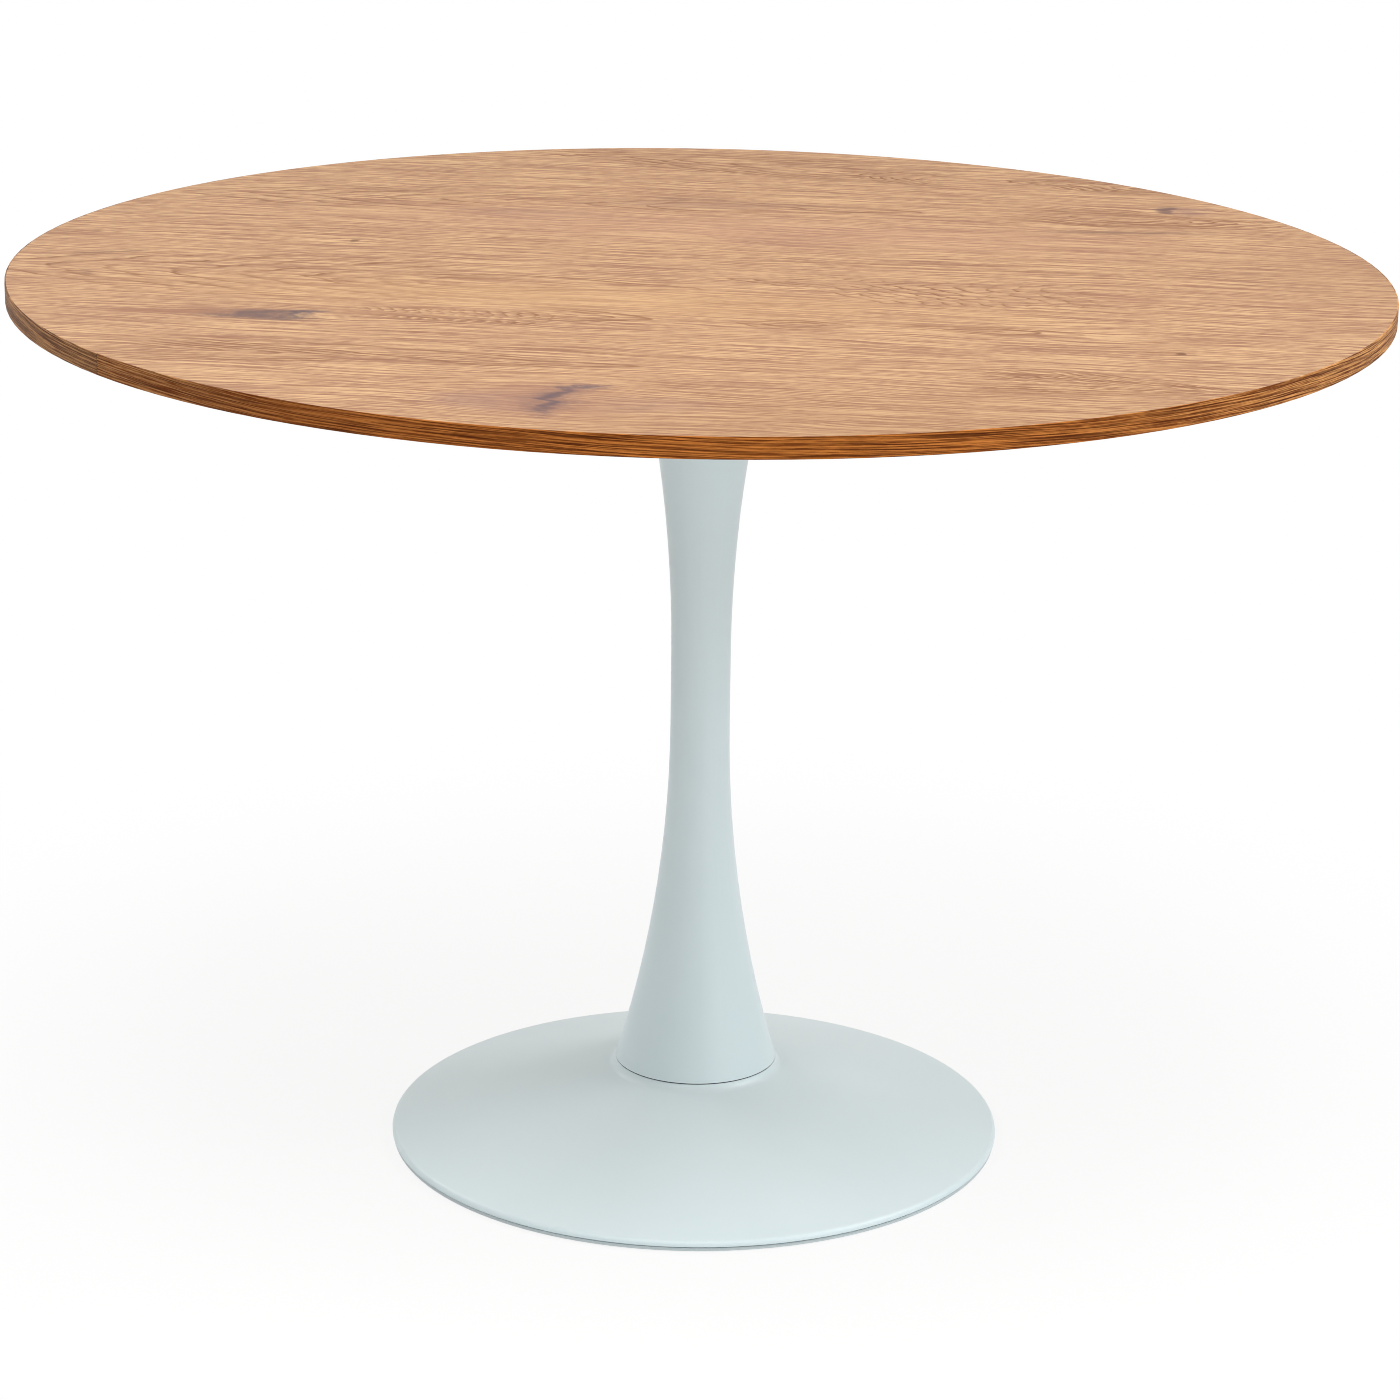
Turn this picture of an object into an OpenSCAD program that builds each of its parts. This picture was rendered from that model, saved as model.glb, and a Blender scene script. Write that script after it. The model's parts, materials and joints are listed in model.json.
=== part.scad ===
// Round dining table on a trumpet column and a shallow conical base.
// The origin is on the floor under the middle of the column, with +Z up.
// All sizes are in millimetres.

/* [Tabletop] */
// Height of the tabletop above the floor
table_height = 740; // [700:5:780]
// Diameter of the tabletop over its edge band
top_diameter = 1100; // [900:10:1300]
// Thickness of the board between the veneers
core_thickness = 15; // [14:1:30]
// Thickness of the upper and the lower veneer
veneer_thickness = 0.5; // [0.4:0.1:1]
// Thickness of the edge band
band_thickness = 1; // [1:0.1:3]
// Radius of the eased corners of the edge band
band_arris = 0.5; // [0.2:0.1:0.8]
// Width of the butt joint in the edge band
band_joint_gap = 0.15; // [0.1:0.05:0.5]
// Direction of the butt joint, turned from +X towards +Y
band_joint_azimuth = -143; // [-180:1:180]

/* [Top fixing] */
// Diameter of the steel plate under the tabletop
plate_diameter = 320; // [260:10:420]
// Thickness of that plate
plate_thickness = 5; // [4:1:8]
// Diameter of the circle of top screws
top_screw_circle = 280; // [200:10:300]
// Number of top screws
top_screw_count = 8; // [4:1:12]
// Diameter of a top screw's shank
top_screw_diameter = 6; // [5:0.5:8]
// Length of a top screw under its head
top_screw_length = 16; // [14:1:18]
// Diameter of a top screw's pan head
top_screw_head = 11; // [10:0.5:14]
// Height of a top screw's head
top_screw_head_height = 3.6; // [3:0.2:5]
// Diameter of a top screw's washer
top_washer_diameter = 14; // [12:1:18]
// Thickness of a top screw's washer
top_washer_thickness = 1.2; // [1:0.1:2]
// Diameter of a threaded insert over its thread
insert_diameter = 10; // [9:0.5:12]
// Length of a threaded insert
insert_length = 12; // [10:0.5:13]

/* [Column] */
// Diameter of the column at its waist
waist_diameter = 49; // [40:1:80]
// Height at which the lower flare begins
waist_low = 360; // [300:5:380]
// Height at which the upper flare begins
waist_high = 425; // [400:5:480]
// Radius of the lower flare's curve
lower_flare_radius = 1013; // [800:1:1400]
// Radius of the upper flare's curve
upper_flare_radius = 1114; // [900:1:1500]
// Wall of the column
column_wall = 2; // [1.5:0.5:4]
// Height of the column's foot above the floor
foot_height = 68; // [60:1:90]
// Thickness of the disc welded in the upper end
head_plate_thickness = 10; // [8:1:14]
// Thickness of the disc welded in the lower end
foot_plate_thickness = 12; // [10:1:16]
// Diameter of the circle of bolts in the upper end
head_bolt_circle = 80; // [60:2:90]
// Diameter of the circle of bolts in the lower end
foot_bolt_circle = 76; // [60:2:80]
// Number of bolts at each end of the column
column_bolt_count = 4; // [3:1:6]
// Diameter of those bolts
column_bolt_diameter = 8; // [6:1:10]
// Length of a countersunk bolt in the upper end
head_bolt_length = 18; // [16:1:22]
// Diameter of a countersunk bolt's head
head_bolt_head = 16; // [14:0.5:20]
// Height of a countersunk bolt's head
head_bolt_head_height = 4; // [3:0.1:5]

/* [Base] */
// Diameter of the base over the cover's lip
base_diameter = 512; // [440:2:600]
// Sheet thickness of the cover
cover_wall = 2; // [1.5:0.5:3]
// Radius of the rounded rim of the cover
rim_radius = 4.5; // [3.5:0.5:8]
// Height of the rim curve's centre above the floor
rim_height = 5.5; // [5:0.5:8]
// Height of the lip's lower edge above the floor
lip_height = 4.7; // [4.2:0.1:6]
// Radius of the hollow curve round the neck
neck_radius = 10; // [6:1:20]
// Slope of the cover where it meets the column's foot
neck_angle = 70; // [50:5:80]
// Diameter of the opening in the cover's neck
neck_opening = 94; // [90:1:100]
// Thickness of the gasket under the column's foot
gasket_thickness = 1; // [0.5:0.5:2]
// How far the gasket stays back from the column's edge
gasket_setback = 0.6; // [0.2:0.1:1.5]
// Thickness of the cast base's disc at its middle
disc_thickness = 14; // [10:1:18]
// Height of the casting's underside above the floor
casting_height = 3; // [3:0.5:5]
// Radial step from the cover's edge to the casting's edge
casting_setback = 7; // [6:0.5:12]
// Diameter of the casting's central boss
boss_diameter = 124; // [120:1:126]
// Diameter of the recess under the boss
recess_diameter = 100; // [94:1:104]
// Thickness of the boss over the recess
boss_roof = 12; // [10:1:16]
// Radius of the hollow curve at the foot of the boss
boss_fillet = 8; // [4:1:12]

/* [Base bolts] */
// Length of a base bolt under its head
base_bolt_length = 35; // [32:1:40]
// Width across the flats of a base bolt's head
base_bolt_flats = 13; // [11:1:17]
// Height of a base bolt's head
base_bolt_head_height = 5.3; // [4:0.1:7]
// Diameter of a base bolt's flat washer
base_washer_diameter = 17; // [15:1:22]
// Thickness of that washer
base_washer_thickness = 1.6; // [1.2:0.1:2.5]
// Diameter of a base bolt's spring washer
spring_washer_diameter = 14.8; // [13:0.2:17]
// Thickness of the spring washer
spring_washer_thickness = 2; // [1.5:0.1:3]
// Width of the slit in the spring washer
spring_washer_slit = 1.5; // [1:0.1:3]

/* [Edge ring] */
// Gap between the edge ring and the floor
ring_height = 1; // [0.6:0.1:2]
// Height of the ring's visible band
ring_band = 2.6; // [2.2:0.1:3]
// Radial step from the lip's outside to the ring's outside
ring_setback = 1; // [0.5:0.1:2]
// Width of the ring's flange under the casting
ring_flange = 9; // [6:1:14]
// Height of the ring's upstand above its visible band
ring_upstand = 2.6; // [1.5:0.1:2.8]

/* [Levelling feet] */
// Diameter of the circle of levelling feet
glide_circle = 380; // [300:5:390]
// Diameter of a foot's pad
pad_diameter = 32; // [26:1:36]
// Height of a foot's pad
pad_height = 5.5; // [5:0.1:6]
// Diameter of a foot's threaded stud
stud_diameter = 8; // [6:1:10]
// Diameter of the stud's lower flange
stud_flange_diameter = 14; // [12:0.5:18]
// Thickness of that flange
stud_flange_thickness = 1.5; // [1.2:0.1:2]
// Thickness of the pad under the flange
pad_floor = 2; // [1.5:0.1:2.5]
// Width across the flats of the stud's hexagon
stud_flats = 13; // [11:1:17]
// Height of the stud's hexagon
stud_hex_height = 3; // [2.5:0.1:4]
// Diameter of the boss that takes the stud
glide_boss_diameter = 24; // [18:1:28]

/* [Clearances] */
// Radial clearance of a screw, bolt or stud in its thread
thread_clearance = 0.05; // [0.02:0.01:0.1]
// Radial clearance of a screw or bolt in its through hole
hole_clearance = 0.4; // [0.2:0.05:0.6]
// Clearance between parts that are welded or pressed in place
seat_clearance = 0.1; // [0.05:0.01:0.2]
// Clearance of the stud's flange in its pad
pad_clearance = 0.08; // [0.04:0.01:0.1]
// Clearance between the cover's inside and the casting
cover_clearance = 1; // [0.5:0.1:2]
// Room round a pad and over a hexagon in the casting
pocket_clearance = 2; // [1:0.1:3]
// Gap left over a hexagon with its foot screwed right in
stop_gap = 0.2; // [0.1:0.05:0.5]

/* [Hidden] */

// Facets: round things are true circles at any $fn above 12
$fn = 96;
// Steps in each small rounded corner
corner_steps = 8;
// Number of levelling feet, and the direction of the first one
glide_count = 4;
glide_azimuth = 45;
// How far a cut runs past a face
past = 1;

// Tabletop
top_thickness = core_thickness + 2 * veneer_thickness;
top_underside = table_height - top_thickness;
core_bottom = top_underside + veneer_thickness;
board_r = top_diameter / 2 - band_thickness;

// Top fixing
plate_bottom = top_underside - plate_thickness;
plate_hole_r = top_screw_diameter / 2 + hole_clearance;
insert_hole_r = insert_diameter / 2 + seat_clearance;
insert_bore_r = top_screw_diameter / 2 + thread_clearance;
screw_seat = plate_bottom - top_washer_thickness;
screw_tip = screw_seat + top_screw_length;
insert_hole_top = max(top_underside + insert_length, screw_tip) + past;

// Column
waist_r = waist_diameter / 2;
column_top = plate_bottom;
column_reach = max(column_r(foot_height), column_r(column_top)) + past;
bolt_r = column_bolt_diameter / 2;
bolt_thread_r = bolt_r + thread_clearance;
bolt_hole_r = bolt_r + hole_clearance;

// Base cover: the neck curve, the cone and the rim curve touch each other
foot_r = column_r(foot_height);
base_r = base_diameter / 2;
neck_top = foot_height - gasket_thickness;
neck_centre = [
    foot_r + neck_radius * sin(neck_angle),
    neck_top + neck_radius * cos(neck_angle),
];
rim_centre = [base_r - rim_radius, rim_height];
neck_to_rim = rim_centre - neck_centre;
cone_angle = atan2(-neck_to_rim[1], neck_to_rim[0])
    - asin((neck_radius + rim_radius) / norm(neck_to_rim));
cone_start = rim_centre + rim_radius * [sin(cone_angle), cos(cone_angle)];

// Cast base
casting_r = base_r - casting_setback;
disc_top = casting_height + disc_thickness;
boss_r = boss_diameter / 2;
recess_r = recess_diameter / 2;
boss_top = neck_top - cover_wall;
recess_top = boss_top - boss_roof;
casting_drop = cover_wall / cos(cone_angle) + cover_clearance;

// Base bolts, counted down from the recess
washer_bottom = recess_top - base_washer_thickness;
spring_bottom = washer_bottom - spring_washer_thickness;

// Edge ring
ring_r = base_r - ring_setback;
ring_shoulder = ring_height + ring_band;
upstand_top = ring_shoulder + ring_upstand;
upstand_out = base_r - cover_wall - 3 * seat_clearance;
upstand_in = casting_r + 3 * seat_clearance;

// Levelling feet, screwed right in
glide_r = glide_circle / 2;
stud_r = stud_diameter / 2;
stud_thread_r = stud_r + thread_clearance;
flange_r = stud_flange_diameter / 2;
flange_bottom = pad_floor + pad_clearance;
flange_top = flange_bottom + stud_flange_thickness;
hex_bottom = pad_height + stop_gap;
hex_top = hex_bottom + stud_hex_height;
pocket_r = pad_diameter / 2 + pocket_clearance;
pocket_top = hex_top + stop_gap;
glide_boss_r = glide_boss_diameter / 2;
glide_boss_top = casting_top(glide_r + glide_boss_r);
stud_top = glide_boss_top - stop_gap;
stud_bore_top = max(glide_boss_top, disc_top) + past;

// Outside radius of the column at a height
function column_r(z) =
    z < waist_low ? flare_r(lower_flare_radius, waist_low - z)
    : z > waist_high ? flare_r(upper_flare_radius, z - waist_high)
    : waist_r;

// Outside radius at a distance from the waist, on a curve of radius curve_r
function flare_r(curve_r, away) = waist_r + curve_r - sqrt(curve_r * curve_r - away * away);

// Height of the cover's outside on its cone
function cone_z(r) = cone_start[1] + (cone_start[0] - r) * tan(cone_angle);

// Height to which the casting can rise under the cone
function casting_top(r) = cone_z(r) - casting_drop;

// Points on a curve, where 0 degrees points up and angles turn towards +X
function curve(centre, r, from, to) = [
    for (i = [0 : corner_steps])
        let (a = from + (to - from) * i / corner_steps)
        centre + r * [sin(a), cos(a)]
];

// Places its children evenly on a circle
module on_circle(diameter, count, first = 0) {
    for (i = [0 : count - 1])
        rotate([0, 0, first + i * 360 / count])
            translate([diameter / 2, 0, 0])
                children();
}

// Round bar, disc or cutter between two heights
module bar(r, bottom, top) {
    translate([0, 0, bottom])
        cylinder(r = r, h = top - bottom);
}

// Flat ring between two heights
module ring(r_out, r_in, bottom, top) {
    difference() {
        bar(r_out, bottom, top);
        bar(r_in, bottom - past, top + past);
    }
}

// Hexagon of a width across its flats
module hexagon(flats, bottom, top) {
    translate([0, 0, bottom])
        cylinder(r = flats / sqrt(3), h = top - bottom, $fn = 6);
}

// One flare's half outline, between the waist and a height
module flare_outline(curve_r, waist_z, end_z, inset) {
    low = min(waist_z, end_z);
    difference() {
        translate([0, low])
            square([column_reach, abs(end_z - waist_z)]);
        translate([waist_r + curve_r, waist_z])
            circle(r = curve_r + inset, $fn = 360);
    }
}

// Half outline of the whole column, set in from its outside
module column_outline(inset) {
    flare_outline(lower_flare_radius, waist_low, foot_height, inset);
    flare_outline(upper_flare_radius, waist_high, column_top, inset);
    translate([0, waist_low])
        square([waist_r - inset, waist_high - waist_low]);
}

// Half outline of the cover's outside or inside, with the wall already taken off
module cover_outline(inset) {
    polygon(concat(
        [[0, lip_height - inset], [0, neck_top - inset]],
        curve(neck_centre, neck_radius + inset, 180 + neck_start(inset), 180 + cone_angle),
        curve(rim_centre, rim_radius - inset, cone_angle, 90),
        [[base_r - inset, lip_height - inset]]
    ));
}

// Slope at which the neck curve leaves the level top of the cover
function neck_start(inset) =
    acos((neck_centre[1] - (neck_top - inset)) / (neck_radius + inset));

module top_core() {
    color("burlywood")
        difference() {
            bar(board_r, core_bottom, core_bottom + core_thickness);
            on_circle(top_screw_circle, top_screw_count)
                bar(insert_hole_r, core_bottom - past, insert_hole_top);
        }
}

module top_veneer() {
    color("tan")
        bar(board_r, core_bottom + core_thickness, table_height);
}

module underside_veneer() {
    color("tan")
        difference() {
            bar(board_r, top_underside, core_bottom);
            on_circle(top_screw_circle, top_screw_count)
                bar(insert_hole_r, top_underside - past, core_bottom + past);
        }
}

// The band runs round the board and meets itself at the butt joint
module edge_band() {
    outside = top_diameter / 2;
    color("peru")
        difference() {
            rotate_extrude()
                polygon(concat(
                    [[board_r, top_underside], [board_r, table_height]],
                    curve([outside - band_arris, table_height - band_arris], band_arris, 0, 90),
                    curve([outside - band_arris, top_underside + band_arris], band_arris, 90, 180)
                ));
            rotate([0, 0, band_joint_azimuth])
                translate([board_r - past, -band_joint_gap / 2, top_underside - past])
                    cube([band_thickness + 2 * past, band_joint_gap, top_thickness + 2 * past]);
        }
}

module insert_nuts() {
    color("silver")
        on_circle(top_screw_circle, top_screw_count)
            ring(insert_diameter / 2, insert_bore_r, top_underside, top_underside + insert_length);
}

module top_mounting_plate() {
    color("lightsteelblue")
        difference() {
            bar(plate_diameter / 2, plate_bottom, top_underside);
            on_circle(top_screw_circle, top_screw_count)
                bar(plate_hole_r, plate_bottom - past, top_underside + past);
            on_circle(head_bolt_circle, column_bolt_count)
                union() {
                    bar(bolt_hole_r, plate_bottom - past, top_underside + past);
                    head_bolt_cone(seat_clearance);
                }
        }
}

// Countersunk head, or with a clearance the sink for it
module head_bolt_cone(clearance) {
    translate([0, 0, top_underside - head_bolt_head_height])
        cylinder(
            r1 = bolt_r + clearance,
            r2 = head_bolt_head / 2 + clearance,
            h = head_bolt_head_height
        );
}

module top_screws() {
    color("silver")
        on_circle(top_screw_circle, top_screw_count)
            union() {
                bar(top_screw_diameter / 2, screw_seat, screw_tip);
                bar(top_screw_head / 2, screw_seat - top_screw_head_height, screw_seat);
            }
}

module top_washers() {
    color("gainsboro")
        on_circle(top_screw_circle, top_screw_count)
            ring(top_washer_diameter / 2, plate_hole_r, screw_seat, plate_bottom);
}

module head_bolts() {
    color("silver")
        on_circle(head_bolt_circle, column_bolt_count)
            union() {
                bar(bolt_r, top_underside - head_bolt_length, top_underside - head_bolt_head_height);
                head_bolt_cone(0);
            }
}

module column_shell() {
    color("lightsteelblue")
        rotate_extrude()
            difference() {
                column_outline(0);
                column_outline(column_wall);
            }
}

// Disc that fills the column's bore between two heights, with bolt holes
module column_disc(bottom, top, bolt_circle) {
    difference() {
        rotate_extrude()
            intersection() {
                column_outline(column_wall + seat_clearance);
                translate([0, bottom])
                    square([column_reach, top - bottom]);
            }
        on_circle(bolt_circle, column_bolt_count)
            bar(bolt_thread_r, bottom - past, top + past);
    }
}

module column_head_plate() {
    color("gray")
        column_disc(column_top - head_plate_thickness, column_top, head_bolt_circle);
}

module column_foot_plate() {
    color("gray")
        column_disc(foot_height, foot_height + foot_plate_thickness, foot_bolt_circle);
}

module column_gasket() {
    color("black")
        ring(foot_r - gasket_setback, neck_opening / 2, neck_top, foot_height);
}

module base_cover() {
    color("lightsteelblue")
        difference() {
            rotate_extrude()
                difference() {
                    cover_outline(0);
                    cover_outline(cover_wall);
                }
            bar(neck_opening / 2, neck_top - cover_wall - past, neck_top + past);
        }
}

module base_casting() {
    rim_top = casting_top(casting_r);
    cone_end = casting_r - (disc_top - rim_top) / tan(cone_angle);
    color("dimgray")
        difference() {
            union() {
                rotate_extrude()
                    polygon(concat(
                        [
                            [0, casting_height],
                            [casting_r, casting_height],
                            [casting_r, rim_top],
                            [cone_end, disc_top],
                        ],
                        curve([boss_r + boss_fillet, disc_top + boss_fillet], boss_fillet, 180, 270),
                        [[boss_r, boss_top], [0, boss_top]]
                    ));
                on_circle(glide_circle, glide_count, glide_azimuth)
                    bar(glide_boss_r, casting_height, glide_boss_top);
            }
            bar(recess_r, casting_height - past, recess_top);
            on_circle(foot_bolt_circle, column_bolt_count)
                bar(bolt_hole_r, recess_top - past, boss_top + past);
            on_circle(glide_circle, glide_count, glide_azimuth) {
                bar(pocket_r, casting_height - past, pocket_top);
                bar(stud_thread_r, pocket_top - past, stud_bore_top);
            }
        }
}

module base_edge_ring() {
    color("lightgray")
        rotate_extrude()
            polygon([
                [ring_r - ring_flange, ring_height],
                [ring_r, ring_height],
                [ring_r, ring_shoulder],
                [upstand_out, ring_shoulder],
                [upstand_out, upstand_top],
                [upstand_in, upstand_top],
                [upstand_in, casting_height],
                [ring_r - ring_flange, casting_height],
            ]);
}

module base_bolts() {
    color("silver")
        on_circle(foot_bolt_circle, column_bolt_count)
            union() {
                bar(bolt_r, spring_bottom, spring_bottom + base_bolt_length);
                hexagon(base_bolt_flats, spring_bottom - base_bolt_head_height, spring_bottom);
            }
}

module base_washers() {
    color("gainsboro")
        on_circle(foot_bolt_circle, column_bolt_count)
            ring(base_washer_diameter / 2, bolt_hole_r, washer_bottom, recess_top);
}

module base_spring_washers() {
    color("gray")
        on_circle(foot_bolt_circle, column_bolt_count)
            difference() {
                ring(spring_washer_diameter / 2, bolt_r + hole_clearance / 2, spring_bottom, washer_bottom);
                translate([0, -spring_washer_slit / 2, spring_bottom - past])
                    cube([spring_washer_diameter, spring_washer_slit, spring_washer_thickness + 2 * past]);
            }
}

// Places one levelling foot, counted from 1
module at_glide(number) {
    rotate([0, 0, glide_azimuth + (number - 1) * 360 / glide_count])
        translate([glide_r, 0, 0])
            children();
}

module glide_pad(number) {
    color("darkslategray")
        at_glide(number)
            difference() {
                bar(pad_diameter / 2, 0, pad_height);
                bar(flange_r + pad_clearance, pad_floor, flange_top + pad_clearance);
                bar(stud_r + pad_clearance, pad_floor, pad_height + past);
            }
}

module glide_stud(number) {
    color("silver")
        at_glide(number)
            union() {
                bar(flange_r, flange_bottom, flange_top);
                bar(stud_r, flange_bottom, stud_top);
                hexagon(stud_flats, hex_bottom, hex_top);
            }
}

top_core();
top_veneer();
underside_veneer();
edge_band();
insert_nuts();
top_mounting_plate();
top_screws();
top_washers();
head_bolts();
column_shell();
column_head_plate();
column_foot_plate();
column_gasket();
base_cover();
base_casting();
base_edge_ring();
base_bolts();
base_washers();
base_spring_washers();
glide_pad(1);  // glide_pad_1
glide_pad(2);  // glide_pad_2
glide_pad(3);  // glide_pad_3
glide_pad(4);  // glide_pad_4
glide_stud(1);  // glide_stud_1
glide_stud(2);  // glide_stud_2
glide_stud(3);  // glide_stud_3
glide_stud(4);  // glide_stud_4
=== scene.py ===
# %% [markdown]
# # A round oak table on a painted trumpet column
#
# The table was modelled as exact solids first. This lesson loads them as a fixed frame and gives them their
# looks: an oak top with cathedral figure and knots, an oak edge band, satin paint on the column and the base,
# and the hardware underneath. Everything is in metres, with the floor at z = 0.

import json
from math import cos, degrees, pi, radians, sin

import bmesh
import bpy
from mathutils import Matrix, Vector


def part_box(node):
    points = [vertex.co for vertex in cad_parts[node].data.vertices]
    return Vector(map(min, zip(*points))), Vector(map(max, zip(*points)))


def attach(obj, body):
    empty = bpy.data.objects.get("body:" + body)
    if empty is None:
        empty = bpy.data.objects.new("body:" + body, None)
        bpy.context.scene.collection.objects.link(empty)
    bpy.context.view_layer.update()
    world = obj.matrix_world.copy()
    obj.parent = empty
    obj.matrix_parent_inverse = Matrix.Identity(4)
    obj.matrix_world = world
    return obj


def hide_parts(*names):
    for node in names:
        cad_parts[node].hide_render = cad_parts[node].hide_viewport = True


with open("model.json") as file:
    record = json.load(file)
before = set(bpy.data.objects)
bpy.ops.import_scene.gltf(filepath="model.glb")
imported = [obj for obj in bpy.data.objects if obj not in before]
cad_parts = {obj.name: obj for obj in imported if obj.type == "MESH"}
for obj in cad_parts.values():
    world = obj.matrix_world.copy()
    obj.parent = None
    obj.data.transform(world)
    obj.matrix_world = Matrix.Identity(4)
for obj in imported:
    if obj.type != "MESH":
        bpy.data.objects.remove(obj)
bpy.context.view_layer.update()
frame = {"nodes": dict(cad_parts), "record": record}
nodes = frame["nodes"]

# %% [markdown]
# ## Sizes to work from
#
# Nothing below types a place that the solids already know. The radii of the top and the base come from the boxes
# of their nodes, so a wider top carries its grain and its edge band with it.

# %% Read the driving sizes
top_low, top_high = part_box("edge_band")
top_radius = (top_high.x - top_low.x) / 2
base_low, base_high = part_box("base_cover")
base_radius = (base_high.x - base_low.x) / 2
print("top radius", round(top_radius, 4), "top face at", round(top_high.z, 4), "base radius", round(base_radius, 4))

# %% [markdown]
# ## The camera
#
# A table looks calm and true through a long lens from some way back, because near and far edges then shrink by
# almost the same amount. The eye stands a little above a seated person's. As on a studio camera, two shifts place
# the frame without tilting the view.

# %% Place the camera
eye = Vector((0.0, -3.4419, 1.4529))
turn, tilt, roll = 0.0400, 0.3279, -0.0264  # radians: to the right, downwards, and round the line of sight

forward = Vector((sin(turn) * cos(tilt), cos(turn) * cos(tilt), -sin(tilt)))
level = Vector((cos(turn), -sin(turn), 0.0))
below = forward.cross(level)
right = cos(roll) * level + sin(roll) * below
down = cos(roll) * below - sin(roll) * level

lens = bpy.data.cameras.new("studio_camera")
lens.sensor_width = 36.0
lens.lens = 112.317
lens.shift_x = -0.11734
lens.shift_y = 0.08407
camera = bpy.data.objects.new("studio_camera", lens)
facing = Matrix((right, -down, -forward)).transposed().to_4x4()
camera.matrix_world = Matrix.Translation(eye) @ facing
bpy.context.scene.collection.objects.link(camera)
bpy.context.scene.camera = camera
print("camera looks down by", round(degrees(tilt), 1), "degrees through a", lens.lens, "mm lens")

# %% [markdown]
# ## A few words for building materials
#
# Blender's materials are graphs of nodes. Written out in full, they hide the recipe, so these helpers keep one step
# of it on one line: `put` adds a node, `feed` gives a socket either a link or a plain value, `step` does both and
# hands on the result, and `calc` does arithmetic. The commonest operations have names of their own.

# %% Helpers for node trees
def put(tree, kind, **settings):
    """Adds a node and sets its options."""
    node = tree.nodes.new(kind)
    for name, value in settings.items():
        setattr(node, name, value)
    return node


def feed(tree, socket, value):
    """Links an output to a socket, or writes a plain value in it."""
    if isinstance(value, bpy.types.NodeSocket):
        tree.links.new(value, socket)
    else:
        socket.default_value = value


def step(tree, kind, *values, **settings):
    """Adds a node, feeds its inputs in their order, and gives its first output."""
    node = put(tree, kind, **settings)
    for socket, value in zip(node.inputs, values):
        feed(tree, socket, value)
    return node.outputs[0]


def calc(tree, operation, *values, clamp=False):
    """Arithmetic on outputs or on numbers."""
    return step(tree, "ShaderNodeMath", *values, operation=operation, use_clamp=clamp)


def plus(tree, a, b):
    return calc(tree, "ADD", a, b)


def minus(tree, a, b):
    return calc(tree, "SUBTRACT", a, b)


def times(tree, a, b):
    return calc(tree, "MULTIPLY", a, b)


def over(tree, a, b):
    return calc(tree, "DIVIDE", a, b)


def times_plus(tree, a, b, c):
    return calc(tree, "MULTIPLY_ADD", a, b, c)


print("node helpers ready")

# %% [markdown]
# Natural surfaces are made of places, fades and noise. `fade` is a smooth step, `point` and `millimetres` say where
# on the table the surface is, `turned_by` gives that place in slanting axes, such as those of the grain, and
# `noise` gives a soft random number there.

# %% Helpers for places and patterns
def fade(tree, value, start, end, first=0.0, last=1.0):
    """A smooth step from first to last while value goes from start to end."""
    return step(tree, "ShaderNodeMapRange", value, start, end, first, last, interpolation_type="SMOOTHSTEP")


def point(tree, x, y, z=0.0):
    """A point from three numbers or outputs."""
    return step(tree, "ShaderNodeCombineXYZ", x, y, z)


def millimetres(tree):
    """The place on the table in millimetres, as three outputs. The solids' origins are the table's own."""
    place = put(tree, "ShaderNodeTexCoord").outputs["Object"]
    scaled = put(tree, "ShaderNodeVectorMath", operation="SCALE")
    feed(tree, scaled.inputs[0], place)
    scaled.inputs["Scale"].default_value = 1000.0
    apart = put(tree, "ShaderNodeSeparateXYZ")
    feed(tree, apart.inputs[0], scaled.outputs[0])
    return apart.outputs


def turned_by(tree, x, y, angle):
    """The same place in axes turned by an angle, which is a number or an output: lengthwise, then sideways."""
    if isinstance(angle, bpy.types.NodeSocket):
        c, s = calc(tree, "COSINE", angle), calc(tree, "SINE", angle)
    else:
        c, s = cos(angle), sin(angle)
    lengthwise = plus(tree, times(tree, x, c), times(tree, y, s))
    sideways = minus(tree, times(tree, y, c), times(tree, x, s))
    return lengthwise, sideways


def noise(tree, place, scale=1.0, detail=2.0):
    """Soft noise between 0 and 1, one blot per 1 / scale."""
    node = put(tree, "ShaderNodeTexNoise", noise_dimensions="3D")
    feed(tree, node.inputs["Vector"], place)
    node.inputs["Scale"].default_value = scale
    node.inputs["Detail"].default_value = detail
    return node.outputs["Fac"]


print("pattern helpers ready")

# %% [markdown]
# A finish is a material with a Principled BSDF. What is the same all over, such as gloss, is set on the shader
# itself, and what changes over the surface comes from nodes. An effect that more than one finish uses is a node
# group, made once by `new_group` and placed with other values by `use_group`.

# %% Helpers for colours, groups and finishes
def blend_colours(tree, amount, lower, upper):
    """Lays one colour over another by an amount. In a Mix node, sockets 6 and 7 take the colours."""
    node = put(tree, "ShaderNodeMix", data_type="RGBA", clamp_factor=True)
    feed(tree, node.inputs["Factor"], amount)
    feed(tree, node.inputs[6], lower)
    feed(tree, node.inputs[7], upper)
    return node.outputs[2]


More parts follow.
